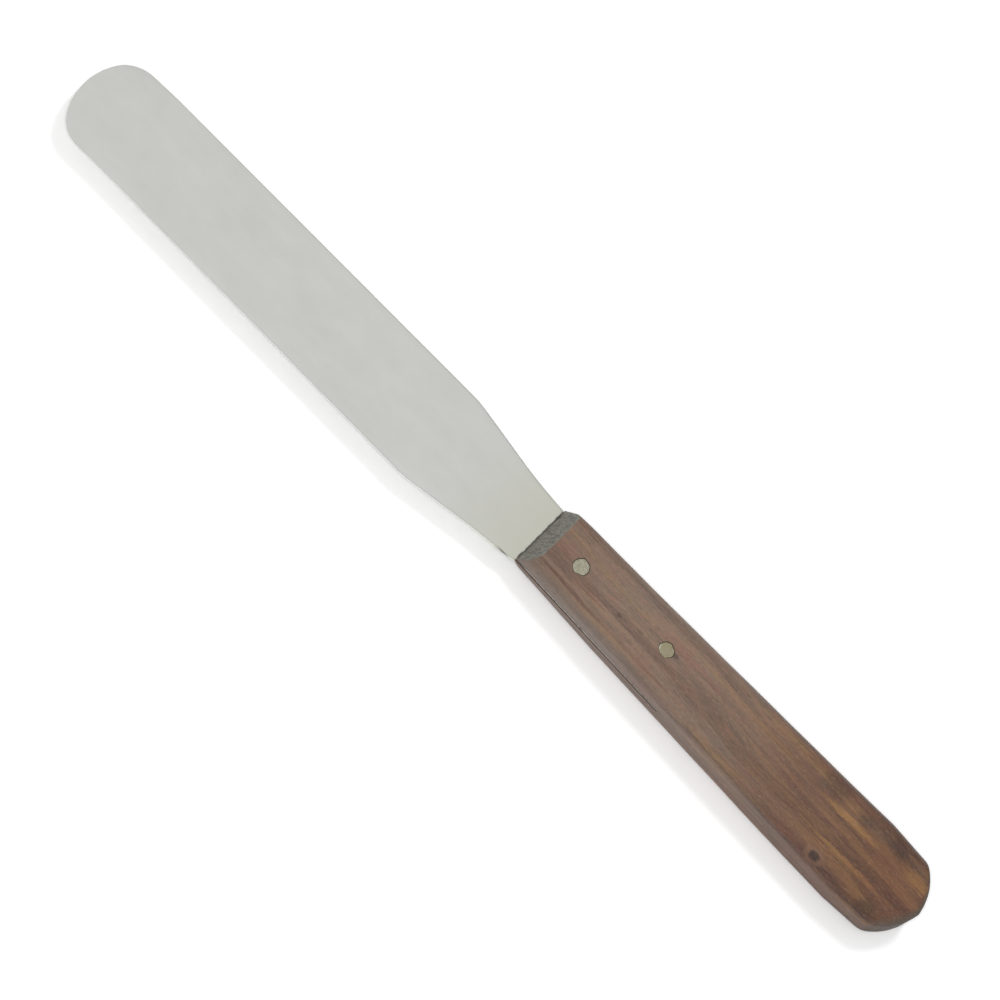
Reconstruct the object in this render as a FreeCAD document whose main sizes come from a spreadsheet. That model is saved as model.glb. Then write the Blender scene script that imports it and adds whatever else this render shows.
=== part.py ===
"""Palette knife: a spring-steel blade and tang, riveted into a slotted hardwood handle.

X runs along the knife from the tip (-X) to the butt (+X), Y across it and Z up. The knife rests on the
underside of its handle at Z = 0, and the origin is the middle of its whole footprint. Inside each body, X = 0
is the front of the handle, where the blade leaves it, and Z = 0 is the middle of the steel. The far side is
+Y and the near side is -Y: the handle is set slightly askew, so its two sides have offsets of their own.
"""

import FreeCAD, Part
import Sketcher
import os
from math import atan2, degrees, hypot, radians, sqrt

DOC = FreeCAD.newDocument("palette_knife")

# Driving dimensions in millimetres.
DIMENSIONS = {
    "blade_length": 152.4,
    "blade_width": 27.15,
    "tip_width": 26.2,
    "nose_radius": 17.5,
    "nose_corner_radius": 9.0,
    "shoulder_length": 34.5,
    "shoulder_corner_radius": 24.0,
    "flare_length": 14.5,
    "flare_width": 21.3,
    "neck_width": 18.3,
    "neck_thickness": 0.8,
    "tip_thickness": 0.35,
    "handle_length": 127.0,
    "handle_thickness": 12.7,
    "handle_front_width": 17.6,
    "handle_rear_width": 24.25,
    "edge_radius": 3.2,
    "handle_front_offset": 0.75,
    "handle_rear_offset": -0.48,
    "butt_offset": -0.4,
    "butt_radius": 15.5,
    "butt_corner_width": 21.8,
    "butt_corner_length": 7.4,
    "butt_ease_length": 19.0,
    "bevel_length": 3.9,
    "bevel_lip": 1.0,
    "slot_depth": 49.0,
    "slot_clearance": 0.1,
    "front_rivet_distance": 12.2,
    "front_rivet_diameter": 4.4,
    "front_rivet_offset": 0.0,
    "rear_rivet_distance": 40.4,
    "rear_rivet_diameter": 4.1,
    "rear_rivet_offset": 0.58,
}
DERIVED = {
    "junction": "=(blade_length - handle_length) / 2",
    "half_height": "=handle_thickness / 2",
    "far_front": "=handle_front_offset + handle_front_width / 2",
    "far_rear": "=handle_rear_offset + handle_rear_width / 2",
    "near_front": "=handle_front_offset - handle_front_width / 2",
    "near_rear": "=handle_rear_offset - handle_rear_width / 2",
    "slot_share": "=slot_depth / handle_length",
    "ease_share": "=1 - butt_ease_length / handle_length",
    "slot_half": "=neck_thickness / 2 + slot_clearance",
}
RIVETS = ("front_rivet", "rear_rivet")

# How a sketch names the two ends and the centre of a piece of geometry, its origin and its axes.
START, END, CENTRE = 1, 2, 3
ORIGIN = (-1, 1)
AXIS_ALONG, AXIS_ACROSS = -1, -2


def make_sheet():
    sheet = DOC.addObject("Spreadsheet::Sheet", "Sizes")
    for row, (alias, value) in enumerate({**DIMENSIONS, **DERIVED}.items(), start=1):
        sheet.set(f"A{row}", alias)
        sheet.set(f"B{row}", str(value))
        sheet.setAlias(f"B{row}", alias)
    DOC.recompute()
    return sheet


SHEET = make_sheet()


def value_of(formula):
    return float(SHEET.evalExpression(formula))


class Outline:
    """A sketch on one of a body's origin planes, tied to the spreadsheet by formulas."""

    def __init__(self, body, name, plane_role, offset=None):
        planes = [feature for feature in body.Origin.OriginFeatures if feature.Role == plane_role]
        self.sketch = body.newObject("Sketcher::SketchObject", name)
        self.sketch.AttachmentSupport = [(planes[0], "")]
        self.sketch.MapMode = "FlatFace"
        if offset:
            self.sketch.setExpression("AttachmentOffset.Base.z", f"Sizes.{offset}")

    def line(self, start, end):
        ends = [FreeCAD.Vector(*point, 0) for point in (start, end)]
        return self.sketch.addGeometry(Part.LineSegment(*ends), False)

    def arc(self, centre, radius, first_angle, last_angle):
        """An arc that runs anticlockwise between two angles in degrees."""
        circle = Part.Circle(FreeCAD.Vector(*centre, 0), FreeCAD.Vector(0, 0, 1), radius)
        arc = Part.ArcOfCircle(circle, radians(first_angle), radians(last_angle))
        return self.sketch.addGeometry(arc, False)

    def arc_between(self, start, end, radius):
        """The shorter arc that runs anticlockwise from one point to another."""
        run = (end[0] - start[0], end[1] - start[1])
        chord = hypot(*run)
        rise = sqrt(radius**2 - chord**2 / 4) / chord
        centre = ((start[0] + end[0]) / 2 - rise * run[1], (start[1] + end[1]) / 2 + rise * run[0])
        angles = [degrees(atan2(point[1] - centre[1], point[0] - centre[0])) for point in (start, end)]
        return self.arc(centre, radius, *angles)

    def tie(self, kind, *references):
        return self.sketch.addConstraint(Sketcher.Constraint(kind, *references))

    def measure(self, kind, references, formula):
        index = self.tie(kind, *references, value_of(formula))
        self.sketch.setExpression(f"Constraints[{index}]", formula)

    def place(self, geometry, end, along=None, across=None):
        """Sets how far a point stands from the origin, each way that is given."""
        if along:
            self.measure("DistanceX", (*ORIGIN, geometry, end), along)
        if across:
            self.measure("DistanceY", (*ORIGIN, geometry, end), across)

    def polygon(self, corners):
        """Straight lines round corners that are given as pairs of formulas."""
        points = [tuple(value_of(formula) for formula in corner) for corner in corners]
        lines = [self.line(point, points[(i + 1) % len(points)]) for i, point in enumerate(points)]
        for i, line in enumerate(lines):
            self.tie("Coincident", lines[i - 1], END, line, START)
            self.place(line, START, *corners[i])
        return lines


def side_at(side, share):
    """Where one side of the handle stands at a named share of its length, as a formula."""
    return f"Sizes.{side}_front + (Sizes.{side}_rear - Sizes.{side}_front) * Sizes.{share}"


def make_body(label):
    body = DOC.addObject("PartDesign::Body", label)
    body.Label = label
    body.setExpression("Placement.Base.x", "Sizes.junction")
    body.setExpression("Placement.Base.z", "Sizes.half_height")
    return body


def cut_through(body, name, outline):
    """Cuts an outline right through the body both ways, and makes sure that it took something away."""
    DOC.recompute()
    volume_before = body.Shape.Volume
    pocket = body.newObject("PartDesign::Pocket", name)
    pocket.Profile = outline.sketch
    pocket.Type = "ThroughAll"
    pocket.SideType = "Symmetric"
    DOC.recompute()
    if body.Shape.Volume >= volume_before:
        raise RuntimeError(f"{body.Label}: {name} cut nothing")
    return pocket


def mirror_across(body, name, feature, plane_role):
    planes = [origin for origin in body.Origin.OriginFeatures if origin.Role == plane_role]
    mirrored = body.newObject("PartDesign::Mirrored", name)
    mirrored.Originals = [feature]
    mirrored.MirrorPlane = (planes[0], [""])
    body.Tip = mirrored
    DOC.recompute()


def cut_rivet_holes(body):
    """One hole for each rivet, where the steel and the wood share it."""
    holes = Outline(body, f"{body.Label}_hole_outline", "XY_Plane")
    for rivet in RIVETS:
        centre = [value_of(f"Sizes.{rivet}_{name}") for name in ("distance", "offset")]
        radius = value_of(f"Sizes.{rivet}_diameter / 2")
        circle = Part.Circle(FreeCAD.Vector(*centre, 0), FreeCAD.Vector(0, 0, 1), radius)
        hole = holes.sketch.addGeometry(circle, False)
        holes.place(hole, CENTRE, f"Sizes.{rivet}_distance", f"Sizes.{rivet}_offset")
        holes.measure("Radius", (hole,), f"Sizes.{rivet}_diameter / 2")
    cut_through(body, f"{body.Label}_rivet_holes", holes)


def draw_half_blade(body):
    """The blade seen from above, on the +Y side of its centre line, from the neck round to the nose."""
    half = Outline(body, "blade_outline", "XY_Plane")
    tip = value_of("-Sizes.blade_length")
    tip_half = value_of("Sizes.tip_width / 2")
    nose_radius = value_of("Sizes.nose_radius")
    corner_radius = value_of("Sizes.nose_corner_radius")
    shoulder_radius = value_of("Sizes.shoulder_corner_radius")
    neck = (0.0, value_of("Sizes.neck_width / 2"))
    flare = (value_of("-Sizes.flare_length"), value_of("Sizes.flare_width / 2"))
    flare_radius = flare[0] ** 2 / (flare[1] - neck[1]) / 2
    shoulder = (value_of("-Sizes.shoulder_length"), value_of("Sizes.blade_width / 2"))
    flank_end = (shoulder[0] + 4.0, shoulder[1] - 0.5)

    neck_line = half.line((0, 0), neck)
    neck_arc = half.arc((0, neck[1] + flare_radius), flare_radius, 261, 270)
    flank = half.line(flare, flank_end)
    shoulder_arc = half.arc((shoulder[0], shoulder[1] - shoulder_radius), shoulder_radius, 80, 90)
    side = half.line(shoulder, (tip + corner_radius, tip_half))
    corner_arc = half.arc((tip + corner_radius, tip_half - corner_radius), corner_radius, 90, 150)
    nose_arc = half.arc((tip + nose_radius, 0), nose_radius, 150, 180)
    centre_line = half.line((tip, 0), (0, 0))

    half.tie("Coincident", centre_line, END, neck_line, START)
    half.tie("Coincident", neck_line, END, neck_arc, END)
    half.tie("Tangent", neck_arc, START, flank, START)
    half.tie("Tangent", flank, END, shoulder_arc, START)
    half.tie("Tangent", shoulder_arc, END, side, START)
    half.tie("Tangent", side, END, corner_arc, START)
    half.tie("Tangent", corner_arc, END, nose_arc, START)
    half.tie("Coincident", nose_arc, END, centre_line, START)

    half.tie("Coincident", neck_line, START, *ORIGIN)
    half.tie("PointOnObject", nose_arc, CENTRE, AXIS_ALONG)
    half.tie("PointOnObject", nose_arc, END, AXIS_ALONG)
    half.tie("PointOnObject", neck_line, END, AXIS_ACROSS)
    half.place(centre_line, START, along="-Sizes.blade_length")
    half.place(neck_line, END, across="Sizes.neck_width / 2")
    half.place(flank, START, "-Sizes.flare_length", "Sizes.flare_width / 2")
    half.place(side, START, "-Sizes.shoulder_length", "Sizes.blade_width / 2")
    half.place(side, END, across="Sizes.tip_width / 2")
    half.measure("Radius", (shoulder_arc,), "Sizes.shoulder_corner_radius")
    half.measure("Radius", (corner_arc,), "Sizes.nose_corner_radius")
    half.measure("Radius", (nose_arc,), "Sizes.nose_radius")
    return half


def make_blade():
    """Blade and tang in one piece, thinned evenly on both faces from the neck to the tip."""
    body = make_body("blade")
    pad = body.newObject("PartDesign::Pad", "blade_sheet")
    pad.Profile = draw_half_blade(body).sketch
    pad.SideType = "Symmetric"
    pad.setExpression("Length", "Sizes.neck_thickness")
    DOC.recompute()
    mirror_across(body, "blade_whole", pad, "XZ_Plane")

    tang_outline = Outline(body, "tang_outline", "XY_Plane")
    tang_outline.polygon(
        [
            ("0", "Sizes.near_front"),
            ("Sizes.slot_depth", side_at("near", "slot_share")),
            ("Sizes.slot_depth", side_at("far", "slot_share")),
            ("0", "Sizes.far_front"),
        ]
    )
    tang = body.newObject("PartDesign::Pad", "tang")
    tang.Profile = tang_outline.sketch
    tang.SideType = "Symmetric"
    tang.setExpression("Length", "Sizes.neck_thickness")
    DOC.recompute()

    grind = Outline(body, "grind_outline", "XZ_Plane")
    for side in ("", "-"):
        grind.polygon(
            [
                ("-Sizes.blade_length", f"{side}Sizes.tip_thickness / 2"),
                ("-Sizes.flare_length", f"{side}Sizes.neck_thickness / 2"),
                ("-Sizes.blade_length", f"{side}Sizes.neck_thickness / 2"),
            ]
        )
    cut_through(body, "distal_grind", grind)
    cut_rivet_holes(body)
    return body


def round_long_edges(body, blank):
    """Rounds the four edges that run the whole length of the handle."""
    length = value_of("Sizes.handle_length")
    edges = [f"Edge{i}" for i, edge in enumerate(blank.Shape.Edges, start=1) if edge.Length >= length]
    rounding = body.newObject("PartDesign::Fillet", "moulded_edges")
    rounding.Base = (blank, edges)
    rounding.setExpression("Radius", "Sizes.edge_radius")
    DOC.recompute()


def draw_butt_waste(body):
    """The wood outside the butt: eased sides, a corner on each, and two broad arcs that meet at the nose."""
    waste = Outline(body, "butt_outline", "XY_Plane")
    spare = "Sizes.handle_rear_width"
    ease_start = "Sizes.handle_length - Sizes.butt_ease_length"
    corner_start = "Sizes.handle_length - Sizes.butt_corner_length"
    sides = {
        side: [
            ("Sizes.handle_length + " + spare, f"{sign}{spare}"),
            (ease_start, f"{sign}{spare}"),
            (ease_start, side_at(side, "ease_share")),
            (corner_start, f"Sizes.butt_offset {sign} Sizes.butt_corner_width / 2"),
        ]
        for side, sign in (("near", "-"), ("far", "+"))
    }
    nose = ("Sizes.handle_length", "Sizes.butt_offset")
    path = [*sides["near"], nose, *reversed(sides["far"])]
    points = [tuple(value_of(formula) for formula in corner) for corner in path]
    arc_places = (path.index(nose) - 1, path.index(nose))

    pieces = []
    for i, start in enumerate(points):
        end = points[(i + 1) % len(points)]
        if i in arc_places:
            pieces.append(waste.arc_between(start, end, value_of("Sizes.butt_radius")))
        else:
            pieces.append(waste.line(start, end))
    for i, piece in enumerate(pieces):
        waste.tie("Coincident", pieces[i - 1], END, piece, START)
        waste.place(piece, START, *path[i])
    for i in arc_places:
        waste.measure("Radius", (pieces[i],), "Sizes.butt_radius")
    return waste


def make_handle():
    """A moulded stick that widens to the rear, rounded at the butt, bevelled and slotted at the front."""
    body = make_body("handle")
    plan = Outline(body, "stick_outline", "XY_Plane")
    plan.polygon(
        [
            ("0", "Sizes.near_front"),
            ("Sizes.handle_length", "Sizes.near_rear"),
            ("Sizes.handle_length", "Sizes.far_rear"),
            ("0", "Sizes.far_front"),
        ]
    )
    stick = body.newObject("PartDesign::Pad", "moulded_stick")
    stick.Profile = plan.sketch
    stick.SideType = "Symmetric"
    stick.setExpression("Length", "Sizes.handle_thickness")
    DOC.recompute()
    round_long_edges(body, stick)

    cut_through(body, "butt_cut", draw_butt_waste(body))

    bevels = Outline(body, "bevel_outline", "XZ_Plane")
    for side in ("", "-"):
        bevels.polygon(
            [
                ("0", f"{side}Sizes.bevel_lip"),
                ("Sizes.bevel_length", f"{side}Sizes.half_height"),
                ("0", f"{side}Sizes.half_height"),
            ]
        )
    cut_through(body, "front_bevels", bevels)

    slot = Outline(body, "slot_outline", "XZ_Plane")
    slot.polygon(
        [
            ("0", "-Sizes.slot_half"),
            ("Sizes.slot_depth", "-Sizes.slot_half"),
            ("Sizes.slot_depth", "Sizes.slot_half"),
            ("0", "Sizes.slot_half"),
        ]
    )
    cut_through(body, "tang_slot", slot)
    cut_rivet_holes(body)
    return body


def make_rivet(label):
    """A pin peened flush with both faces of the handle."""
    rivet = DOC.addObject("Part::Cylinder", label)
    rivet.Label = label
    rivet.setExpression("Radius", f"Sizes.{label}_diameter / 2")
    rivet.setExpression("Height", "Sizes.handle_thickness")
    rivet.setExpression("Placement.Base.x", f"Sizes.junction + Sizes.{label}_distance")
    rivet.setExpression("Placement.Base.y", f"Sizes.{label}_offset")
    return rivet


def check_and_export(pieces):
    DOC.recompute()
    for item in DOC.Objects:
        if "Invalid" in item.State or "Error" in item.State:
            raise RuntimeError(f"{item.Label} did not compute: {item.State}")
    for piece in pieces:
        if piece.Shape.isNull() or not piece.Shape.isValid() or len(piece.Shape.Solids) != 1:
            raise RuntimeError(f"{piece.Label} is not one valid solid")
    os.makedirs("parts", exist_ok=True)
    for piece in pieces:
        piece.Shape.exportStep(f"parts/{piece.Label}.step")
        box = piece.Shape.BoundBox
        print(f"{piece.Label}: {box.XLength:.1f} x {box.YLength:.1f} x {box.ZLength:.1f} mm")


check_and_export([make_blade(), make_handle(), *[make_rivet(label) for label in RIVETS]])
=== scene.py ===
"""Palette knife on a pale floor: brushed spring steel in a slotted, riveted rosewood handle.

Everything is in metres. X runs from the blade's tip (-X) to the butt (+X), Y across and Z up. The camera
stands over the -Y side and the key light over the +Y side.
"""

import bmesh
import bpy
import numpy as np
from math import atan2, cos, pi, radians, sin, sqrt
from mathutils import Matrix, Vector, noise


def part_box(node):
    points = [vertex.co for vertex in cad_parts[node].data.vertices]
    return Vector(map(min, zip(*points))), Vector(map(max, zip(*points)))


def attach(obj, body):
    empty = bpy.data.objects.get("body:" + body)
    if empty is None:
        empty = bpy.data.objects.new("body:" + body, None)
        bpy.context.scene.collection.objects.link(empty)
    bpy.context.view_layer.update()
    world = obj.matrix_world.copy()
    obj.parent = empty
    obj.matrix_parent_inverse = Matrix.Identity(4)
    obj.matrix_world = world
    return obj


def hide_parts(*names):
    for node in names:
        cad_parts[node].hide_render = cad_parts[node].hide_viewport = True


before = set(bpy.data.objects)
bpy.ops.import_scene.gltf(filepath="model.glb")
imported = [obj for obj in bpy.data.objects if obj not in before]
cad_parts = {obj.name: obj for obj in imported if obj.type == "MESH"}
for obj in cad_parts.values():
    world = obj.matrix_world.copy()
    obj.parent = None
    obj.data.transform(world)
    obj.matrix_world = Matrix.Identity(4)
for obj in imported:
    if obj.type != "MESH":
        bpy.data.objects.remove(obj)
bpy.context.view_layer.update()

MM = 0.001

# The places and sizes that the frame gives.
BLADE_LOW, BLADE_HIGH = (Vector(corner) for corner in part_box("blade"))
HANDLE_LOW, HANDLE_HIGH = (Vector(corner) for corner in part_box("handle"))
TIP_X = BLADE_LOW.x
FRONT_X = HANDLE_LOW.x
BUTT_X = HANDLE_HIGH.x
TANG_END_X = BLADE_HIGH.x
STEEL_Z = (BLADE_LOW.z + BLADE_HIGH.z) / 2
NECK_THICKNESS = BLADE_HIGH.z - BLADE_LOW.z
BLADE_HALF = (BLADE_HIGH.y - BLADE_LOW.y) / 2
HANDLE_HALF_HEIGHT = (HANDLE_HIGH.z - HANDLE_LOW.z) / 2

# Proportions of the steel.
TIP_HALF = BLADE_HALF - 0.47 * MM
TIP_THICKNESS = 0.35 * MM
NOSE_RADIUS = 17.5 * MM
NOSE_CORNER_RADIUS = 9 * MM
NOSE_LEAN = 0.44 * MM
SHOULDER = 34.5 * MM
SHOULDER_ROUNDING = 4.3 * MM
FLARE = 14.5 * MM
FLARE_HALF = 10.65 * MM
NECK_HALF = 9.15 * MM
NECK_TRIM = 0.5 * MM
NECK_TRIM_LENGTH = 6 * MM

# Proportions of the wood. The handle is set slightly askew, so its far (+Y) and near (-Y) sides differ.
FAR_FRONT, FAR_REAR = 9.55 * MM, 11.64 * MM
NEAR_FRONT, NEAR_REAR = -8.05 * MM, -12.6 * MM
FAR_ROUNDING = (1.3 * MM, 3.0 * MM, 3.4 * MM, 2.6 * MM)
NEAR_ROUNDING = (4.9 * MM, 2.9 * MM, 2.9 * MM, 4.6 * MM)
ROUNDING_SHARES = (0, 0.22, 0.7, 1)
FRONT_EASE = 0.5 * MM
FRONT_EASE_LENGTH = 9 * MM
BUTT_Y = -0.4 * MM
BUTT_EASE = 19 * MM
BUTT_CORNER = 7.4 * MM
BUTT_CORNER_HALF = 10.9 * MM
BUTT_RADIUS = 15.5 * MM
BUTT_ROUNDINGS = (3.5 * MM, 1.3 * MM)
BEVEL_LENGTH = 3.9 * MM
BEVEL_LIP = 1 * MM
ARRIS = 0.35 * MM
KERF_ABOVE = NECK_THICKNESS / 2 + 0.08 * MM
KERF_BELOW = NECK_THICKNESS / 2 + 0.36 * MM
KERF_WANDER = 0.04 * MM
CHIP_DEPTHS = (0.04 * MM, 0.55 * MM, 0.22 * MM)
TANG_RECESS = 0.07 * MM
HOLE_GAP = 0.07 * MM
SKIN_DIP = 0.05 * MM
SKIN_DIP_ON_TOP = 0.4

# The pins: their outlines' share of the CAD radius, and their lobes. Each lobe is how many times it goes
# round, how deep it is and where it starts.
PIN_SHARE = 0.965
RIVETS = ("front_rivet", "rear_rivet")
RIVET_SHAPE = {
    "front_rivet": {"lobes": ((2, 0.02, 0.6), (3, 0.03, 2.1), (5, 0.028, 4.0), (7, 0.014, 1.0)), "seed": 1.7},
    "rear_rivet": {"lobes": ((2, 0.05, 1.9), (4, 0.03, 0.4), (7, 0.018, 3.0)), "seed": 6.2},
}

# Places in millimetres, which is what the materials are laid out in.
FRONT, BUTT, TOP, STEEL = (place / MM for place in (FRONT_X, BUTT_X, HANDLE_HIGH.z, STEEL_Z))
NECK_Y = -NECK_HALF / MM
REAR_RIVET_LOW, REAR_RIVET_HIGH = (Vector(corner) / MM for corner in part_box("rear_rivet"))
REAR_RIVET_X = REAR_RIVET_LOW.x
KNOT = (BUTT - 27.8, -9.5, TOP - 0.2)
# (x, y, radius, darkness) of the stains on the upper face.
STAINS = (
    (FRONT + 26.6, -1.8, 0.9, 0.55),
    (REAR_RIVET_X + 4.6, 1.0, 1.0, 0.75),
    (BUTT - 34.5, 7.4, 4.2, 0.45),
    (BUTT - 24.2, 5.7, 2.4, 0.35),
    (BUTT - 14.0, 7.0, 3.2, 0.5),
    (BUTT - 10.5, -9.6, 3.2, 0.5),
)
# (x, y, half length, half width, strength) of the golden streaks on the upper face.
GLINTS = (
    (BUTT - 27.0, 3.4, 9.0, 1.1, 0.4),
    (BUTT - 5.5, 4.2, 5.0, 2.4, 0.4),
    (BUTT - 22.0, -5.0, 14.0, 0.8, 0.4),
)

# The camera and what it takes in.
VIEW_ELEVATION = radians(69.0)
VIEW_ROLL = radians(45.3)
VIEW_DISTANCE = 1.25
SPAN_ACROSS_FRAME = 0.2375
AIM = Vector((0.00015, -0.00033, STEEL_Z))
LAMP_DISTANCE = 1.2
FLOOR_HALF = 3.0


def srgb(red, green, blue):
    """A screen colour out of 255 as the linear values that a shader takes."""
    values = [channel / 255 for channel in (red, green, blue)]
    return tuple(v / 12.92 if v <= 0.04045 else ((v + 0.055) / 1.055) ** 2.4 for v in values)


def ripple(x, y, z, period, seed):
    """Smooth noise from -1 to 1 that changes over about one period."""
    return noise.noise(Vector((x / period + seed, y / period - seed, z / period + 2 * seed)))


# ---------------------------------------------------------------- meshes


def object_from(name, vertices, faces):
    """A mesh object in the scene."""
    mesh = bpy.data.meshes.new(name)
    mesh.from_pydata([tuple(vertex) for vertex in vertices], [], faces)
    mesh.validate()
    piece = bpy.data.objects.new(name, mesh)
    bpy.context.scene.collection.objects.link(piece)
    return piece


def tube_faces(ring_count, ring_size):
    """Quads between rings that close round on themselves."""
    faces = []
    for ring in range(ring_count - 1):
        here, there = ring * ring_size, (ring + 1) * ring_size
        for j in range(ring_size):
            k = (j + 1) % ring_size
            faces.append((here + j, here + k, there + k, there + j))
    return faces


def ring_object(name, rings):
    """A closed skin over rings of points, with flat ends."""
    size = len(rings[0])
    faces = tube_faces(len(rings), size)
    faces.append(tuple(range(size))[::-1])
    last = (len(rings) - 1) * size
    faces.append(tuple(range(last, last + size)))
    piece = object_from(name, [point for ring in rings for point in ring], faces)
    tidy_mesh(piece)
    return piece


def tidy_mesh(piece, merge=0.002 * MM, sharp=radians(35)):
    """Joins doubled points, turns the faces outwards, and shades smooth except over crisp edges."""
    shape = bmesh.new()
    shape.from_mesh(piece.data)
    bmesh.ops.remove_doubles(shape, verts=shape.verts, dist=merge)
    bmesh.ops.dissolve_degenerate(shape, edges=shape.edges, dist=merge)
    bmesh.ops.recalc_face_normals(shape, faces=shape.faces)
    shape.to_mesh(piece.data)
    shape.free()
    for polygon in piece.data.polygons:
        polygon.use_smooth = True
    piece.data.set_sharp_from_angle(angle=sharp)


def cut_away(piece, cutter):
    """Takes the cutter's space out of the piece for good, and removes the cutter."""
    modifier = piece.modifiers.new("cut", "BOOLEAN")
    modifier.operation = "DIFFERENCE"
    modifier.solver = "EXACT"
    modifier.object = cutter
    bpy.context.view_layer.update()
    graph = bpy.context.evaluated_depsgraph_get()
    mesh = bpy.data.meshes.new_from_object(piece.evaluated_get(graph))
    piece.modifiers.clear()
    piece.data = mesh
    bpy.data.objects.remove(cutter)
    tidy_mesh(piece)


def bezier(start, pull, end, count):
    """Points along a bend that leaves start and reaches end along the lines through pull."""
    start, pull, end = (np.array(point) for point in (start, pull, end))
    steps = np.linspace(0, 1, count)[1:]
    return [tuple((1 - s) ** 2 * start + 2 * s * (1 - s) * pull + s**2 * end) for s in steps]


def sides_at(x):
    """(near, far) y of the handle's straight sides, which the tang follows. The far front corner is eased."""
    share = (x - FRONT_X) / (BUTT_X - FRONT_X)
    ease = FRONT_EASE * max(0, 1 - (x - FRONT_X) / FRONT_EASE_LENGTH) ** 2
    near = NEAR_FRONT + (NEAR_REAR - NEAR_FRONT) * share
    far = FAR_FRONT + (FAR_REAR - FAR_FRONT) * share - ease
    return near, far


def blade_outline():
    """(x, half width) from the tip to the neck."""
    nose_centre = TIP_X + NOSE_RADIUS
    corner_y = TIP_HALF - NOSE_CORNER_RADIUS
    corner_x = nose_centre - sqrt((NOSE_RADIUS - NOSE_CORNER_RADIUS) ** 2 - corner_y**2)
    meeting = atan2(corner_y, corner_x - nose_centre)
    points = [
        (nose_centre + NOSE_RADIUS * cos(a), NOSE_RADIUS * sin(a))
        for a in np.linspace(pi, meeting, 25)
    ]
    points += [
        (corner_x + NOSE_CORNER_RADIUS * cos(a), corner_y + NOSE_CORNER_RADIUS * sin(a))
        for a in np.linspace(meeting, pi / 2, 19)[1:]
    ]
    shoulder = (FRONT_X - SHOULDER, BLADE_HALF)
    flare = (FRONT_X - FLARE, FLARE_HALF)
    points += [tuple(point) for point in np.linspace(points[-1], shoulder, 40)[1:]]
    corner = (shoulder[0] + SHOULDER_ROUNDING / 2, BLADE_HALF)
    slope = (flare[1] - corner[1]) / (flare[0] - corner[0])
    flank = (shoulder[0] + SHOULDER_ROUNDING, BLADE_HALF + slope * SHOULDER_ROUNDING / 2)
    points += bezier(shoulder, corner, flank, 9)
    points += [tuple(point) for point in np.linspace(flank, flare, 8)[1:]]
    reach = FLARE * 0.42
    neck_pull = (flare[0] + reach, FLARE_HALF + slope * reach)
    points += bezier(flare, neck_pull, (FRONT_X, NECK_HALF), 12)
    return points


def edge_shifts(x):
    """(near, far) shifts of the blade's edges: the nose leans to -Y and the neck's near corner is trimmed."""
    trim = NECK_TRIM * max(0, 1 - (FRONT_X - x) / NECK_TRIM_LENGTH) ** 2
    lean_fades = [TIP_X + NOSE_CORNER_RADIUS * 0.7, TIP_X + NOSE_RADIUS]
    lean = float(np.interp(x, lean_fades, [NOSE_LEAN, 0]))
    return trim - lean, -lean


def steel_half_thickness(x):
    """Half the blade's thickness, which grows evenly from the tip to the flare."""
    along = min(1.0, (x - TIP_X) / (FRONT_X - FLARE - TIP_X))
    return (TIP_THICKNESS + (NECK_THICKNESS - TIP_THICKNESS) * along) / 2


def steel_ring(x, near, far, thick, out=(0.0, 1.0)):
    """A section of the steel, with its edges rounded along the outline's own normal."""
    edge = [(thick * (cos(a) - 1), thick * sin(a)) for a in np.linspace(pi / 2, -pi / 2, 9)]
    rim = [(x + out[0] * d, far + out[1] * d, STEEL_Z + z) for d, z in edge]
    other_rim = [(x + out[0] * d, near - out[1] * d, STEEL_Z + z) for d, z in edge]
    across = np.linspace(other_rim[0][1], rim[0][1], 15)[1:-1]
    top = [(rim[0][0], y, STEEL_Z + thick) for y in across]
    bottom = [(px, py, 2 * STEEL_Z - pz) for px, py, pz in reversed(top)]
    return [*top, *rim, *bottom, *reversed(other_rim)]


def make_blade():
    """Blade and tang in one piece; inside the handle the tang stands a little below the wood's sides."""
    outline = np.array(blade_outline())
    heading = np.gradient(outline, axis=0)
    heading[0] = (0, 1)
    heading /= np.linalg.norm(heading, axis=1)[:, None]
    rings = []
    for (x, half), (run_x, run_y) in zip(outline, heading):
        near_shift, far_shift = edge_shifts(x)
        thick = steel_half_thickness(x)
        rings.append(steel_ring(x, near_shift - half, far_shift + half, thick, (-run_y, run_x)))
    for x in [FRONT_X + 0.05 * MM, *np.linspace(FRONT_X, TANG_END_X, 12)[1:]]:
        near, far = sides_at(x)
        rings.append(steel_ring(x, near + TANG_RECESS, far - TANG_RECESS, NECK_THICKNESS / 2))
    piece = ring_object("blade_steel", rings)
    for rivet in RIVETS:
        cut_away(piece, pin_cutter(rivet, 0.0))
    return piece


def smooth_min(a, b, reach):
    """The smaller of two lengths, eased over a short reach where they cross."""
    ease = np.maximum(reach - np.abs(a - b), 0) / reach
    return np.minimum(a, b) - ease**2 * reach / 4


def butt_centre(sign):
    """The centre of the arc that closes the butt on one side, from its corner to the nose."""
    chord = Vector((-BUTT_CORNER, sign * BUTT_CORNER_HALF))
    rise = sqrt(BUTT_RADIUS**2 - chord.length_squared / 4) / chord.length
    return Vector((BUTT_X, BUTT_Y)) + chord / 2 + sign * rise * Vector((-chord.y, chord.x))


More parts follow.
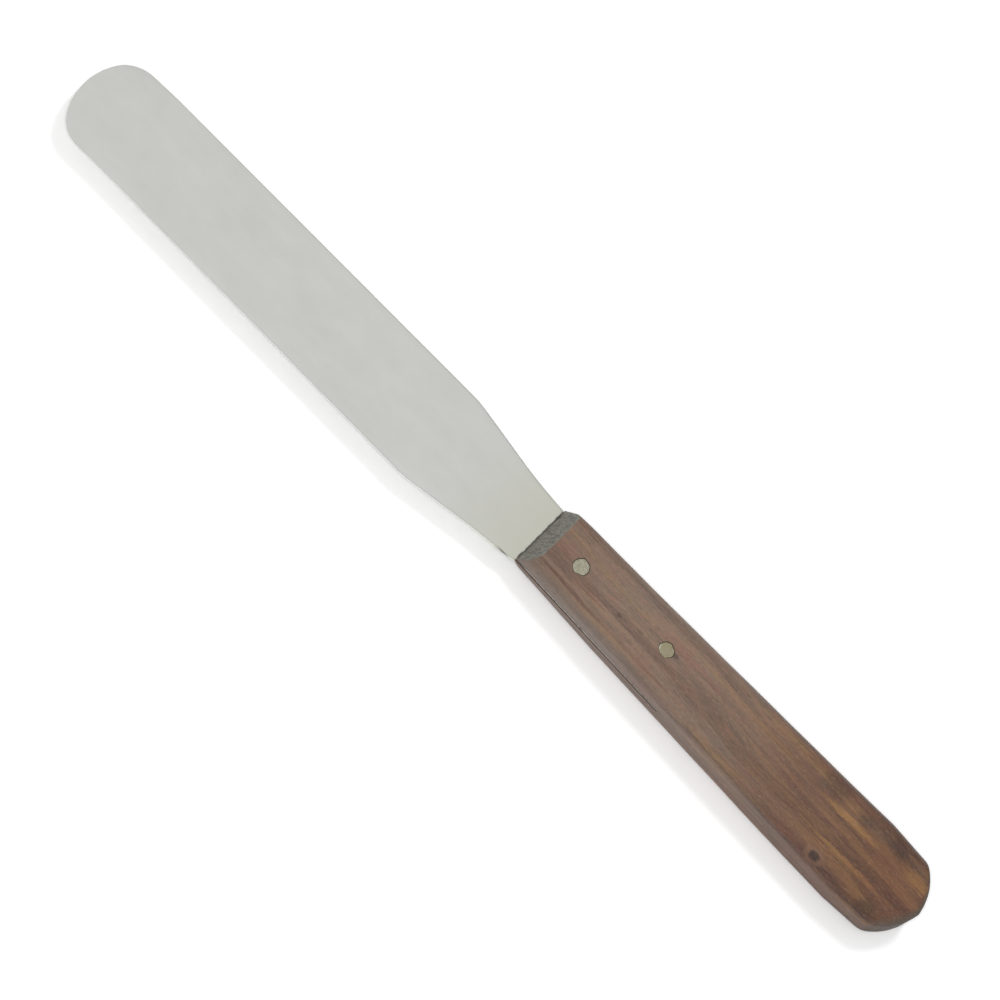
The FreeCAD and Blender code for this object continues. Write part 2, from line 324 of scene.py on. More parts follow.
def plan_limits(x):
    """(near, far) y of the handle's outline at x: straight, then eased towards the corners, then the arcs."""
    ease_x, corner_x = BUTT_X - BUTT_EASE, BUTT_X - BUTT_CORNER
    limits = []
    for sign, straight, ease_y in zip((-1, 1), sides_at(x), sides_at(ease_x)):
        corner_y = BUTT_Y + sign * BUTT_CORNER_HALF
        if x <= ease_x:
            limits.append(straight)
        elif x <= corner_x:
            limits.append(float(np.interp(x, [ease_x, corner_x], [ease_y, corner_y])))
        else:
            centre = butt_centre(sign)
            limits.append(centre.y + sign * sqrt(BUTT_RADIUS**2 - (x - centre.x) ** 2))
    return limits


def butt_depth(x, y):
    """How far a place lies inside the butt's two arcs."""
    centres = [butt_centre(sign) for sign in (-1, 1)]
    reaches = [np.hypot(max(x - centre.x, 0), y - centre.y) for centre in centres]
    return BUTT_RADIUS - np.maximum(*reaches)


def drop(depth, radius):
    """How far a rounded edge falls below the flat, at a depth inside the outline."""
    short = radius - np.clip(depth, 0, radius)
    return radius - np.sqrt(radius**2 - short**2)


def face_height(x, y):
    """The upper face's height over the middle of the steel."""
    share = (x - FRONT_X) / (BUTT_X - FRONT_X)
    near, far = plan_limits(min(x, BUTT_X - BUTT_CORNER))
    if x > BUTT_X - BUTT_CORNER:
        ease_near, ease_far = plan_limits(BUTT_X - BUTT_EASE)
        steps = (x - (BUTT_X - BUTT_CORNER)) / (BUTT_EASE - BUTT_CORNER)
        near, far = near + (near - ease_near) * steps, far + (far - ease_far) * steps
    butt_rounding = np.interp(y, [-BUTT_CORNER_HALF / 2, BUTT_CORNER_HALF / 2], BUTT_ROUNDINGS)
    drops = [
        drop(y - near, np.interp(share, ROUNDING_SHARES, NEAR_ROUNDING)),
        drop(far - y, np.interp(share, ROUNDING_SHARES, FAR_ROUNDING)),
        drop(butt_depth(x, y), butt_rounding),
    ]
    height = HANDLE_HALF_HEIGHT - sum(fall**3 for fall in drops) ** (1 / 3)
    bevel = BEVEL_LIP + (x - FRONT_X) * (HANDLE_HALF_HEIGHT - BEVEL_LIP) / BEVEL_LENGTH
    return smooth_min(height, bevel, ARRIS)


def handle_stations():
    """Where the rings stand: close together over the bevel and round the butt."""
    fine, wide = 0.2 * MM, 0.8 * MM
    bevel = np.arange(FRONT_X, FRONT_X + BEVEL_LENGTH + 1 * MM, fine)
    corner_x = BUTT_X - BUTT_CORNER
    middle = np.arange(bevel[-1] + wide, corner_x - 2 * wide, wide)
    before_corner = np.linspace(middle[-1], corner_x, 8)[1:]
    butt = corner_x + BUTT_CORNER * np.sin(np.linspace(0, pi / 2, 44))[1:-1]
    return np.concatenate([bevel, middle, before_corner, butt, [BUTT_X - 0.005 * MM]])


def handle_section(x):
    """Points round the handle at x: two walls, and two faces whose points crowd towards the edges."""
    near, far = plan_limits(x)
    turns = np.linspace(pi / 2, -pi / 2, 61)
    across = (near + far) / 2 + (far - near) / 2 * np.sin(turns)
    heights = face_height(x, across)
    far_wall = [(far, z) for z in np.linspace(-heights[0], heights[0], 11)[1:-1]]
    near_wall = [(near, z) for z in np.linspace(heights[-1], -heights[-1], 11)[1:-1]]
    upper = list(zip(across, heights))
    lower = list(zip(across[::-1], -heights[::-1]))
    return [*far_wall, *upper, *near_wall, *lower]


def make_handle():
    """The moulded stick with its front bevels and round butt, then slotted, chipped and bored."""
    rings = [[(x, y, STEEL_Z + z) for y, z in handle_section(x)] for x in handle_stations()]
    piece = ring_object("handle_wood", rings)
    wear_skin(piece)
    for cutter in (slot_cutter(), chip_cutter()):
        cut_away(piece, cutter)
    for rivet in RIVETS:
        cut_away(piece, pin_cutter(rivet, HOLE_GAP))
    return piece


def wear_skin(piece):
    """Lets the skin dip a little here and there, as sanded and handled wood does."""
    for vertex in piece.data.vertices:
        side = vertex.co.y / FAR_REAR
        dip = SKIN_DIP * (1 + ripple(*vertex.co, 9 * MM, 3.7))
        vertex.co.y -= side * dip
        if vertex.co.z > STEEL_Z:
            vertex.co.z -= SKIN_DIP_ON_TOP * dip * (1 + ripple(*vertex.co, 5 * MM, 8.1))


def slot_cutter():
    """The saw kerf: a flat slab whose faces waver as the saw did, open to the front and both sides."""
    stations = np.arange(FRONT_X - 2 * MM, TANG_END_X + 0.3 * MM, 0.5 * MM)
    reach = 2 * FAR_REAR
    rings = []
    for x in stations:
        upper = []
        lower = []
        for y in np.linspace(-reach, reach, 81):
            wander = KERF_WANDER * ripple(x, y, 0, 1.1 * MM, 5.3)
            upper.append((x, y, STEEL_Z + KERF_ABOVE + wander))
            lower.append((x, y, STEEL_Z - KERF_BELOW + wander * 0.7))
        rings.append([*upper, *reversed(lower)])
    return ring_object("kerf", rings)


def chip_cutter():
    """Bites out of the wood's thin front lips, where the saw and later knocks have chipped them."""
    start = FRONT_X - 2 * MM
    reach = BEVEL_LIP + 1 * MM
    everywhere, broad, small = CHIP_DEPTHS
    rings = []
    for y in np.arange(NEAR_FRONT - 1 * MM, FAR_FRONT + 1 * MM, 0.12 * MM):
        coarse = max(0.0, ripple(y, 0, 0, 2.1 * MM, 4.4) - 0.05)
        fine = max(0.0, ripple(y, 0, 0, 0.45 * MM, 9.2))
        bite = FRONT_X + everywhere + broad * coarse + small * fine
        corners = ((start, -reach), (bite, -reach), (bite, reach), (start, reach))
        rings.append([(x, y, STEEL_Z + z) for x, z in corners])
    return ring_object("chips", rings)


def rivet_radius(rivet, angle):
    """The outline of a pin whose end has been hammered out of round."""
    low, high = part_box(rivet)
    radius = (high[0] - low[0]) / 2
    swell = sum(depth * sin(count * angle + turn) for count, depth, turn in RIVET_SHAPE[rivet]["lobes"])
    return radius * (PIN_SHARE + swell)


def pin_rings(rivet, profile):
    """Rings round the pin's axis. The profile gives how far inside the outline and how high each one is."""
    low, high = (Vector(corner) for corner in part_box(rivet))
    centre = (low + high) / 2
    turns = np.linspace(0, 2 * pi, 72, endpoint=False)
    rings = []
    for inset, height in profile:
        ring = []
        for turn in turns:
            radius = max(rivet_radius(rivet, turn) - inset, 0.02 * MM)
            ring.append((centre.x + radius * cos(turn), centre.y + radius * sin(turn), height))
        rings.append(ring)
    return rings


def pin_cutter(rivet, gap):
    """The space that a pin takes up, with a gap round it, right through the knife."""
    reach = 2 * MM
    profile = [(-gap, HANDLE_LOW.z - reach), (-gap, HANDLE_HIGH.z + reach)]
    return ring_object("bore", pin_rings(rivet, profile))


def make_rivet(rivet):
    """A pin peened flush at both ends: a rounded rim, a low crown and the flats that a hammer leaves."""
    rim = 0.22 * MM
    crown = 0.06 * MM
    dent_depth = 0.06 * MM
    radius = rivet_radius(rivet, 0)
    edge = [(rim * (1 - sin(a)), rim * (1 - cos(a))) for a in np.linspace(pi / 2, 0, 6)]
    face = [(rim + (radius - rim) * s, -crown * s) for s in np.linspace(0, 0.97, 14)[1:]]
    upper = [(inset, HANDLE_HIGH.z - crown - fall) for inset, fall in [*edge, *face]]
    lower = [(inset, HANDLE_LOW.z + crown + fall) for inset, fall in [*edge, *face]]
    piece = ring_object(f"{rivet}_pin", pin_rings(rivet, [*reversed(lower), *upper]))
    seed = RIVET_SHAPE[rivet]["seed"]
    for vertex in piece.data.vertices:
        on_end = 1 if vertex.co.z > STEEL_Z else -1
        dent = 0.5 + 0.5 * ripple(vertex.co.x, vertex.co.y, 0, 0.9 * MM, seed * on_end)
        if abs(vertex.co.z - STEEL_Z) > HANDLE_HALF_HEIGHT - rim - crown:
            vertex.co.z -= on_end * dent_depth * dent
    tidy_mesh(piece, sharp=radians(60))
    return piece


# ---------------------------------------------------------------- materials


class Surface:
    """A node material, with the object's own millimetres as its coordinates."""

    def __init__(self, name):
        self.material = bpy.data.materials.new(name)
        self.material.use_nodes = True
        self.tree = self.material.node_tree
        self.tree.nodes.clear()
        self.shader = self.tree.nodes.new("ShaderNodeBsdfPrincipled")
        output = self.tree.nodes.new("ShaderNodeOutputMaterial")
        self.tree.links.new(self.shader.outputs[0], output.inputs["Surface"])
        coordinates = self.tree.nodes.new("ShaderNodeTexCoord")
        self.place = self.vector("MULTIPLY", coordinates.outputs["Object"], (1 / MM, 1 / MM, 1 / MM))
        self.x, self.y, self.z = self.split(self.place)

    def node(self, kind, inputs, **settings):
        """A node whose inputs are linked to, or set to, what is given for them."""
        node = self.tree.nodes.new(kind)
        for name, value in settings.items():
            setattr(node, name, value)
        for key, value in inputs.items():
            if isinstance(value, bpy.types.NodeSocket):
                self.tree.links.new(value, node.inputs[key])
            else:
                node.inputs[key].default_value = value
        return node

    def vector(self, operation, first, second):
        return self.node("ShaderNodeVectorMath", {0: first, 1: second}, operation=operation).outputs[0]

    def split(self, vector):
        return self.node("ShaderNodeSeparateXYZ", {0: vector}).outputs[:3]

    def join(self, x, y, z):
        return self.node("ShaderNodeCombineXYZ", {0: x, 1: y, 2: z}).outputs[0]

    def math(self, operation, first, second=0.0, third=0.0):
        return self.node("ShaderNodeMath", {0: first, 1: second, 2: third}, operation=operation).outputs[0]

    def times(self, first, second):
        return self.math("MULTIPLY", first, second)

    def plus(self, first, second):
        return self.math("ADD", first, second)

    def minus(self, first, second):
        return self.math("SUBTRACT", first, second)

    def normal(self):
        """The three parts of the surface's own direction."""
        return self.split(self.node("ShaderNodeNewGeometry", {}).outputs["Normal"])

    def between(self, value, low, high, start=0.0, end=1.0):
        """Goes smoothly from start to end as value goes from low to high."""
        inputs = {"Value": value, "From Min": low, "From Max": high, "To Min": start, "To Max": end}
        return self.node("ShaderNodeMapRange", inputs, interpolation_type="SMOOTHSTEP").outputs[0]

    def noise(self, vector, stretch, detail=3.0, roughness=0.5, distortion=0.0):
        """Noise whose features are about stretch millimetres long each way."""
        inputs = {
            "Vector": self.vector("DIVIDE", vector, stretch),
            "Scale": 1.0,
            "Detail": detail,
            "Roughness": roughness,
            "Distortion": distortion,
        }
        return self.node("ShaderNodeTexNoise", inputs).outputs[0]

    def mix(self, factor, first, second, blend="MIX"):
        """The second colour laid over the first, as strongly as the factor says."""
        inputs = {0: factor, 6: self.colour(first), 7: self.colour(second)}
        return self.node("ShaderNodeMix", inputs, data_type="RGBA", blend_type=blend).outputs[2]

    def colour(self, value):
        """A plain colour with its alpha; anything else is passed on as it is."""
        return (*value, 1.0) if isinstance(value, tuple) and len(value) == 3 else value

    def ramp(self, factor, stops):
        """The colour that a factor from 0 to 1 has among (position, colour) stops."""
        node = self.node("ShaderNodeValToRGB", {0: factor})
        elements = node.color_ramp.elements
        while len(elements) < len(stops):
            elements.new(0.5)
        for element, (position, value) in zip(elements, stops):
            element.position = position
            element.color = self.colour(value)
        return node.outputs[0]

    def distance(self, point, stretch=(1.0, 1.0, 1.0)):
        """How far each place is from a point in millimetres, measured in units of stretch."""
        return self.length(self.vector("DIVIDE", self.vector("SUBTRACT", self.place, point), stretch))

    def length(self, vector):
        return self.node("ShaderNodeVectorMath", {0: vector}, operation="LENGTH").outputs["Value"]

    def bump(self, height, depth, under=None):
        """A surface direction with relief of a depth in metres, laid over the one under it."""
        inputs = {"Height": height, "Distance": depth, "Strength": 1.0}
        if under:
            inputs["Normal"] = under
        return self.node("ShaderNodeBump", inputs).outputs[0]

    def finish(self, **sockets):
        """Sets the shader's sockets, with _ for each space in a name, and gives back the material."""
        for name, value in sockets.items():
            socket = self.shader.inputs[name.replace("_", " ")]
            if isinstance(value, bpy.types.NodeSocket):
                self.tree.links.new(value, socket)
            else:
                socket.default_value = self.colour(value)
        return self.material


def steel_material():
    """Satin spring steel: brushed along the blade, a little blotchy and scratched, with painted shade at the
    wood and a painted dark reflection on the far rim.
    """
    s = Surface("brushed_spring_steel")
    brushing = s.noise(s.place, (9.0, 0.07, 0.5), detail=4.0, roughness=0.65)
    cloud = s.noise(s.place, (14.0, 7.0, 7.0), detail=3.0, roughness=0.6)
    speck = s.noise(s.place, (0.35, 0.3, 0.3), detail=2.0)
    # The ragged edge of the painted shade where the steel enters the wood.
    junction_raggedness = s.noise(s.place, (0.6, 1.5, 1.0), detail=4.0, roughness=0.7)
    at_wood = s.between(s.plus(s.x, s.times(junction_raggedness, 1.3)), FRONT + 0.4, FRONT + 0.8)
    on_tang = s.between(s.x, FRONT + 0.2, FRONT + 0.7)
    _, facing_far, _ = s.normal()

    colour = ground_steel(s, brushing, cloud)
    # Painted shade where the steel enters the wood and along the neck's near corner.
    colour = add_neck_painted_shade(s, colour, at_wood)
    colour = s.mix(on_tang, colour, tang_colour(s))
    # Painted dark reflection on the rims that face the far (+Y) side.
    colour = s.mix(s.between(facing_far, 0.2, 0.75, 0.0, 0.6), colour, srgb(96, 97, 92))

    rough = s.plus(s.between(brushing, 0.2, 0.8, 0.30, 0.42), s.between(speck, 0.3, 0.7, -0.02, 0.03))
    rough = s.math("MAXIMUM", rough, s.times(s.math("MAXIMUM", at_wood, on_tang), 0.62))
    normal = s.bump(brushing, 0.004 * MM, s.bump(cloud, 0.01 * MM))
    return s.finish(Base_Color=colour, Metallic=1.0, Roughness=rough, Anisotropic=0.35, Normal=normal)


def ground_steel(s, brushing, cloud):
    """The blade's clean colour: blotches, brushing, scratches, and a warmer tone towards the neck."""
    blotches = [(0.3, srgb(236, 237, 231)), (0.5, srgb(239, 240, 235)), (0.7, srgb(242, 243, 238))]
    colour = s.ramp(cloud, blotches)
    colour = s.mix(s.between(brushing, 0.25, 0.75, 0.0, 0.08), colour, srgb(216, 216, 211))
    scratches = s.noise(s.place, (24.0, 0.16, 0.6), detail=1.0, distortion=0.35)
    colour = s.mix(s.between(scratches, 0.76, 0.80, 0.0, 0.25), colour, srgb(250, 250, 247))
    return s.mix(s.between(s.x, FRONT - 26, FRONT, 0.0, 0.75), colour, srgb(229, 229, 213))


def add_neck_painted_shade(s, colour, at_wood):
    """Painted shade: in the gap where the steel enters the wood, and along the near corner of the neck."""
    colour = s.mix(s.times(at_wood, 0.8), colour, srgb(74, 74, 68))
    near_edge = s.between(s.y, NECK_Y - 0.05, NECK_Y + 0.3, 1.0, 0.0)
    near_corner = s.times(near_edge, s.between(s.x, FRONT - 6, FRONT - 3))
    return s.mix(s.times(near_corner, 0.75), colour, srgb(72, 72, 66))


def tang_colour(s):
    """The dull steel in the slot, dirtiest at the front and at the rear."""
    grime = s.noise(s.place, (0.55, 0.7, 0.7), detail=3.0, roughness=0.6)
    colour = s.mix(s.between(grime, 0.5, 0.7), srgb(192, 188, 180), srgb(112, 104, 96))
    colour = s.mix(s.between(s.x, FRONT + 24, FRONT + 48, 0.0, 0.4), colour, srgb(112, 102, 94))
    return s.mix(s.between(s.x, FRONT + 1.5, FRONT + 4.5, 0.7, 0.0), colour, srgb(92, 88, 82))


def wood_material():
    """Oiled rosewood: drifting growth rings, colour bands, pores, a knot, and grey end grain at both ends."""
    s = Surface("oiled_rosewood")
    knot = s.distance(KNOT, (1.6, 1.05, 1.4))
    across = across_the_grain(s, knot)
    grain = s.join(s.x, across, s.z)
    streaks = s.noise(grain, (10.0, 0.34, 0.34), detail=5.0, roughness=0.66)
    fibres = s.noise(grain, (3.2, 0.11, 0.11), detail=3.0, roughness=0.6)
    pores = s.between(s.noise(grain, (1.9, 0.13, 0.13), detail=1.0, distortion=0.2), 0.66, 0.72)
    end_speckle = s.noise(s.place, (0.5, 0.22, 0.3), detail=3.0, roughness=0.7)
    facing_end, facing_far, _ = s.normal()
    end_share = s.between(s.math("ABSOLUTE", facing_end), 0.12, 0.85)

    colour = wood_bands(s, grain, latewood(s, grain, across))
    colour = add_fibres(s, colour, grain, streaks, fibres)
    colour = s.mix(s.times(pores, 0.14), colour, srgb(48, 38, 36))
    colour = add_vein(s, colour, across, streaks)
    colour = add_knot(s, colour, knot, streaks)
    colour = add_stains_and_glints(s, colour, streaks, fibres)
    colour = s.mix(1.0, colour, oil_tone(s), "MULTIPLY")
    # Painted shade on the far wall and painted sheen on the near wall's front.
    colour = paint_wall_shade_and_sheen(s, colour, facing_far)
    colour = s.mix(end_share, colour, end_grain(s, end_speckle))
    # Painted shade along the slot and at the wood's front lips.
    colour = add_slot_painted_shade(s, colour, end_speckle)
    mottle = s.noise(s.place, (1.1, 0.45, 0.6), detail=4.0, roughness=0.7)
    colour = s.mix(s.between(mottle, 0.5, 0.72, 0.0, 0.3), colour, srgb(84, 70, 64))
    colour = s.mix(s.between(mottle, 0.48, 0.28, 0.0, 0.3), colour, srgb(152, 124, 104))

    rough = s.plus(s.between(streaks, 0.3, 0.7, 0.40, 0.52), s.times(end_share, 0.25))
    relief = s.minus(s.times(fibres, 0.5), s.times(pores, 0.5))
    normal = s.bump(relief, 0.05 * MM, s.bump(s.plus(streaks, s.times(end_speckle, end_share)), 0.06 * MM))
    return s.finish(Base_Color=colour, Roughness=rough, Specular_IOR_Level=0.42, Normal=normal)


def across_the_grain(s, knot):
    """The place across the fibres, which lean towards -Y as they run back, waver, and part round the knot."""
    lean = s.times(s.minus(s.x, FRONT), 0.035)
    waver = s.times(s.minus(s.noise(s.place, (46.0, 7.0, 7.0), detail=2.0), 0.5), 5.0)
    unevenness = s.between(s.noise(s.place, (5.0, 2.0, 3.0), detail=1.0), 0.35, 0.65, 0.1, 0.8)
    push = s.times(s.between(knot, 0.5, 4.5, 1.0, 0.0), unevenness)
    return s.plus(s.plus(s.plus(s.y, lean), waver), push)


def latewood(s, grain, across):
    """The dark side of each growth ring. The rings' centre lies below the handle."""
    radius = s.length(s.vector("SUBTRACT", s.join(0.0, across, s.z), (0.0, 5.0, -16.0)))
    unevenness = s.noise(grain, (60.0, 2.4, 2.4), detail=4.0, roughness=0.6)
    ring = s.math("FRACT", s.plus(s.times(radius, 0.34), s.times(unevenness, 1.6)))
    return s.times(s.between(ring, 0.45, 0.93), s.between(ring, 0.95, 1.0, 1.0, 0.0))


def to_the_rear(s):
    """0 at the front of the handle and 1 at the rear, where the wood is warmer and more lively."""
    return s.between(s.x, FRONT + 45, BUTT - 15)


def wood_bands(s, grain, dark_rings):
    """Bands and patches of colour, calmer in front and richer at the rear, with the growth rings."""
    bands = s.noise(grain, (38.0, 2.6, 3.2), detail=4.0, roughness=0.55)
    patches = s.noise(grain, (30.0, 6.0, 6.0), detail=2.0)
    calm = s.ramp(bands, [
        (0.30, srgb(104, 86, 75)),
        (0.47, srgb(121, 101, 88)),
        (0.60, srgb(126, 104, 84)),
        (0.74, srgb(137, 111, 88)),
    ])
    rich = s.ramp(bands, [
        (0.28, srgb(84, 66, 58)),
        (0.44, srgb(110, 84, 66)),
        (0.58, srgb(134, 104, 72)),
        (0.72, srgb(154, 122, 80)),
    ])
    colour = s.mix(to_the_rear(s), calm, rich)
    colour = s.mix(s.between(patches, 0.5, 0.72, 0.0, 0.55), colour, srgb(128, 88, 72))
    colour = s.mix(s.between(patches, 0.46, 0.28, 0.0, 0.5), colour, srgb(104, 96, 88))
    return s.mix(s.times(dark_rings, 0.42), colour, srgb(72, 54, 48))


def add_fibres(s, colour, grain, streaks, fibres):
    """Dark and light streaks and fibres along the grain, and a red and grey blush."""
    colour = s.mix(s.between(streaks, 0.54, 0.74, 0.0, 0.5), colour, srgb(70, 54, 50))
    colour = s.mix(s.between(streaks, 0.42, 0.26, 0.0, 0.35), colour, srgb(152, 124, 98))
    colour = s.mix(s.between(fibres, 0.52, 0.72, 0.0, 0.36), colour, srgb(66, 52, 46))
    rear_fibres = s.times(s.between(fibres, 0.48, 0.28, 0.0, 0.4), to_the_rear(s))
    colour = s.mix(rear_fibres, colour, srgb(168, 134, 92))
    blush = s.noise(grain, (4.2, 0.5, 0.6), detail=4.0, roughness=0.65)
    colour = s.mix(s.between(blush, 0.5, 0.7, 0.0, 0.5), colour, srgb(136, 98, 82))
    return s.mix(s.between(blush, 0.46, 0.3, 0.0, 0.45), colour, srgb(96, 84, 76))


def add_vein(s, colour, across, streaks):
    """One long dark vein in the front half of the handle."""
    off_line = s.plus(s.minus(across, -5.9), s.times(s.minus(streaks, 0.5), 1.1))
    line = s.between(s.math("ABSOLUTE", off_line), 0.15, 0.75, 0.3, 0.0)
    return s.mix(s.times(line, s.between(s.x, FRONT + 62, FRONT + 40)), colour, srgb(76, 54, 50))


def add_knot(s, colour, knot, streaks):
    """A dark knot in brown wood, with a pale halo."""
    core = s.plus(knot, s.times(s.minus(streaks, 0.5), 0.9))
    colour = s.mix(s.between(knot, 1.1, 2.4, 0.5, 0.0), colour, srgb(118, 90, 72))
    halo = s.times(s.between(knot, 1.05, 1.3), s.between(knot, 2.1, 1.4, 0.0, 0.2))
    colour = s.mix(halo, colour, srgb(158, 132, 112))
    return s.mix(s.between(core, 0.7, 1.15, 0.85, 0.0), colour, srgb(62, 54, 50))


def add_stains_and_glints(s, colour, streaks, fibres):
    """Dark stains with edges that follow the streaks, and ragged golden streaks."""
    for x, y, radius, darkness in STAINS:
        spread = (radius, radius * 0.7, radius * 3)
        stain = s.plus(s.distance((x, y, TOP), spread), s.minus(0.5, streaks))
        colour = s.mix(s.between(stain, 0.4, 1.3, darkness, 0.0), colour, srgb(62, 52, 50))
    ragged = s.times(s.minus(fibres, 0.5), 2.2)
    for x, y, half_length, half_width, strength in GLINTS:
        spread = (half_length, half_width, half_width * 3)
        glint = s.plus(s.distance((x, y, TOP), spread), ragged)
        colour = s.mix(s.between(glint, 0.3, 1.2, strength, 0.0), colour, srgb(190, 150, 88))
    return colour


def oil_tone(s):
    """What the oil has done to the wood along the handle: darkened and reddened it towards the butt."""
    share = s.math("DIVIDE", s.minus(s.x, FRONT), BUTT - FRONT)
    return s.ramp(share, [
        (0.04, (0.91, 0.90, 0.91)),
        (0.18, (1.0, 1.0, 1.0)),
        (0.40, (1.0, 1.0, 1.0)),
        (0.52, (0.92, 0.89, 0.88)),
        (0.65, (0.78, 0.73, 0.71)),
        (0.77, (0.73, 0.65, 0.65)),
        (0.88, (0.58, 0.49, 0.50)),
    ])


def paint_wall_shade_and_sheen(s, colour, facing_far):
    """Painted shade on the far wall, and a painted grey sheen on the front of the near wall."""
    colour = s.mix(s.between(facing_far, 0.35, 0.8, 0.0, 0.3), colour, srgb(52, 42, 38))
    near_wall = s.between(facing_far, -0.8, -0.4, 0.5, 0.0)
    near_front = s.times(near_wall, s.between(s.x, FRONT + 60, FRONT + 20))
    return s.mix(near_front, colour, srgb(112, 102, 95))


def end_grain(s, speckle):
    """The speckled, hatched colour of wood cut across its fibres: grey in front, dark brown at the butt."""
    grey = [(0.32, srgb(92, 92, 86)), (0.55, srgb(130, 130, 122)), (0.75, srgb(166, 165, 155))]
    brown = [(0.32, srgb(56, 46, 42)), (0.55, srgb(88, 74, 64)), (0.75, srgb(116, 100, 86))]
    at_butt = s.between(s.x, FRONT + 20, BUTT - 20)
    colour = s.mix(at_butt, s.ramp(speckle, grey), s.ramp(speckle, brown))
    diagonal = s.join(s.plus(s.x, s.y), s.minus(s.x, s.y), s.z)
    hatching = s.noise(diagonal, (2.4, 0.32, 1.2), detail=2.0, distortion=0.3)
    return s.mix(s.between(hatching, 0.46, 0.62, 0.0, 0.65), colour, srgb(78, 76, 71))


def add_slot_painted_shade(s, colour, speckle):
    """Painted shade of the gaps: along the slot, and on the wood's front lips where the steel enters."""
    from_slot = s.math("ABSOLUTE", s.minus(s.z, STEEL))
    along_slot = s.times(s.between(from_slot, 0.7, 0.95, 0.65, 0.0), s.between(s.x, FRONT + 52, FRONT + 46))
    colour = s.mix(along_slot, colour, srgb(58, 50, 48))
    from_lip = s.plus(s.x, s.times(speckle, -0.9))
    return s.mix(s.between(from_lip, FRONT - 0.4, FRONT + 0.1, 0.75, 0.0), colour, srgb(54, 54, 50))


def rivet_material():
    """Nickel silver, hammered and sanded with the handle: warm grey, with a brassy tarnish in the dents and a
    painted highlight on the rear rivet's rim.
    """
    s = Surface("hammered_nickel_silver")
    dents = s.noise(s.place, (0.7, 0.7, 0.7), detail=3.0, roughness=0.6)
    grit = s.noise(s.place, (0.16, 0.16, 0.16), detail=2.0)
    sanding = s.noise(s.place, (1.6, 0.06, 0.3), detail=2.0)
    tarnish = [(0.3, srgb(168, 161, 133)), (0.5, srgb(198, 194, 171)), (0.7, srgb(220, 217, 201))]
    colour = s.ramp(dents, tarnish)
    colour = s.mix(s.between(s.x, REAR_RIVET_X - 6, REAR_RIVET_X - 3, 0.0, 0.5), colour, srgb(172, 158, 116))
    colour = s.mix(s.between(grit, 0.56, 0.74, 0.0, 0.55), colour, srgb(124, 118, 94))
    # Painted highlight on the rear rivet's rim.
    colour = s.mix(painted_rim_highlight(s), colour, srgb(244, 238, 218))
    rough = s.plus(s.between(dents, 0.3, 0.7, 0.36, 0.5), s.between(sanding, 0.3, 0.7, -0.04, 0.05))
    normal = s.bump(grit, 0.012 * MM, s.bump(dents, 0.05 * MM))
    return s.finish(Base_Color=colour, Metallic=1.0, Roughness=rough, Normal=normal)


def painted_rim_highlight(s):
    """The painted highlight on the near front side of the rear rivet's rim."""
    low, high = REAR_RIVET_LOW, REAR_RIVET_HIGH
    radius = (high.x - low.x) / 2
    shifted = (low.x + radius * 1.2, low.y + radius * 1.2, high.z)
    rim = s.between(s.distance(shifted, (radius, radius, radius * 9)), 1.04, 1.16, 0.0, 0.75)
    return s.times(rim, s.between(s.x, low.x - 1, low.x - 0.5))


# ---------------------------------------------------------------- the knife


def dress(piece, node, material):
    """Gives a piece its material and slot, and puts it in the place of its CAD node."""
    piece.data.materials.clear()
    piece.data.materials.append(material)
    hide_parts(node)
    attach(piece, "root")


dress(make_blade(), "blade", steel_material())
dress(make_handle(), "handle", wood_material())
rivet_finish = rivet_material()
for rivet_name in RIVETS:
    dress(make_rivet(rivet_name), rivet_name, rivet_finish)


# ---------------------------------------------------------------- floor, light and camera


def add_floor():
    """A pale matt floor in the plane of the handle's underside."""
    quarters = ((-1, -1), (1, -1), (1, 1), (-1, 1))
    corners = [(x * FLOOR_HALF, y * FLOOR_HALF, 0) for x, y in quarters]
    floor = object_from("floor", corners, [(0, 1, 2, 3)])
    s = Surface("pale_floor")
    paint = s.finish(Base_Color=(0.93, 0.93, 0.93), Roughness=0.9, Specular_IOR_Level=0.0)
    floor.data.materials.append(paint)


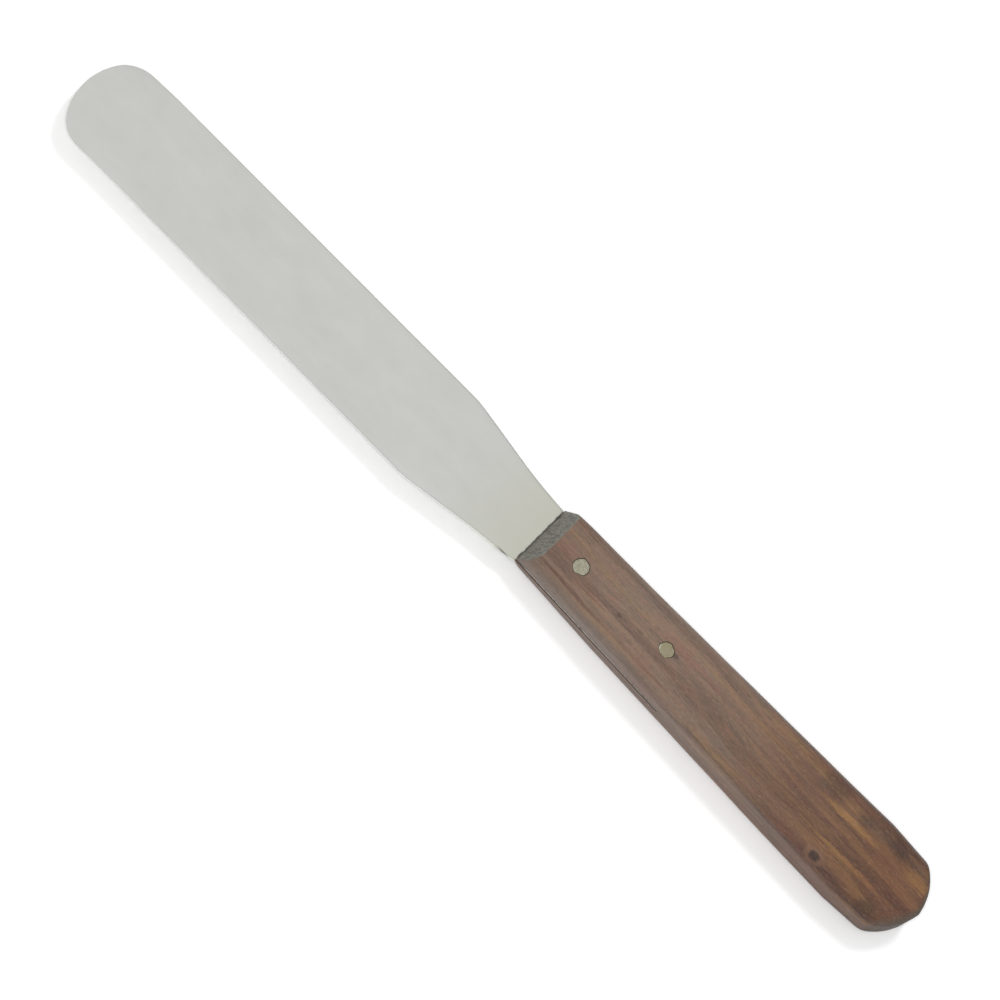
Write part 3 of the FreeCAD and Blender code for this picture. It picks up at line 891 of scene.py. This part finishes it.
def add_light():
    """A bright room with a darker horizon, a key light over the +Y side for the shadow, and a fill light."""
    world = bpy.data.worlds.new("studio")
    bpy.context.scene.world = world
    world.use_nodes = True
    tree = world.node_tree
    background = tree.nodes["Background"]
    up = tree.nodes.new("ShaderNodeSeparateXYZ")
    ramp = tree.nodes.new("ShaderNodeValToRGB")
    tree.links.new(tree.nodes.new("ShaderNodeTexCoord").outputs["Generated"], up.inputs[0])
    tree.links.new(up.outputs["Z"], ramp.inputs[0])
    tree.links.new(ramp.outputs[0], background.inputs["Color"])
    low, high = ramp.color_ramp.elements
    low.position, high.position = 0.3, 0.75
    low.color, high.color = (0.3, 0.3, 0.3, 1), (1, 1, 1, 1)
    background.inputs["Strength"].default_value = 0.7

    add_softbox("key", azimuth=90, elevation=63, size=0.28, energy=4.2)
    add_softbox("fill", azimuth=-90, elevation=69, size=0.2, energy=7.3)


def add_softbox(name, azimuth, elevation, size, energy):
    """A round softbox that lights the room but leaves no hot spot on the steel."""
    azimuth, elevation = radians(azimuth), radians(elevation)
    light = bpy.data.lights.new(name, "AREA")
    light.shape = "DISK"
    light.size = size
    light.energy = energy
    lamp = bpy.data.objects.new(name, light)
    heading = Vector((cos(azimuth) * cos(elevation), sin(azimuth) * cos(elevation), sin(elevation)))
    lamp.location = LAMP_DISTANCE * heading
    lamp.rotation_euler = (-lamp.location).to_track_quat("-Z", "Y").to_euler()
    lamp.visible_glossy = False
    bpy.context.scene.collection.objects.link(lamp)


def add_camera():
    """Looks steeply down from the -Y side, turned so that the knife lies from upper left to lower right."""
    back = Vector((0, -cos(VIEW_ELEVATION), sin(VIEW_ELEVATION)))
    level = Vector((1, 0, 0))
    upright = back.cross(level)
    right = level * cos(VIEW_ROLL) + upright * sin(VIEW_ROLL)
    up = back.cross(right)
    data = bpy.data.cameras.new("camera")
    data.lens = data.sensor_width * VIEW_DISTANCE / SPAN_ACROSS_FRAME
    data.clip_end = 20
    camera = bpy.data.objects.new("camera", data)
    turn = Matrix((right, up, back)).transposed().to_4x4()
    camera.matrix_world = Matrix.Translation(AIM + back * VIEW_DISTANCE) @ turn
    bpy.context.scene.collection.objects.link(camera)
    bpy.context.scene.camera = camera


add_floor()
add_light()
add_camera()
bpy.context.scene.view_settings.view_transform = "Standard"
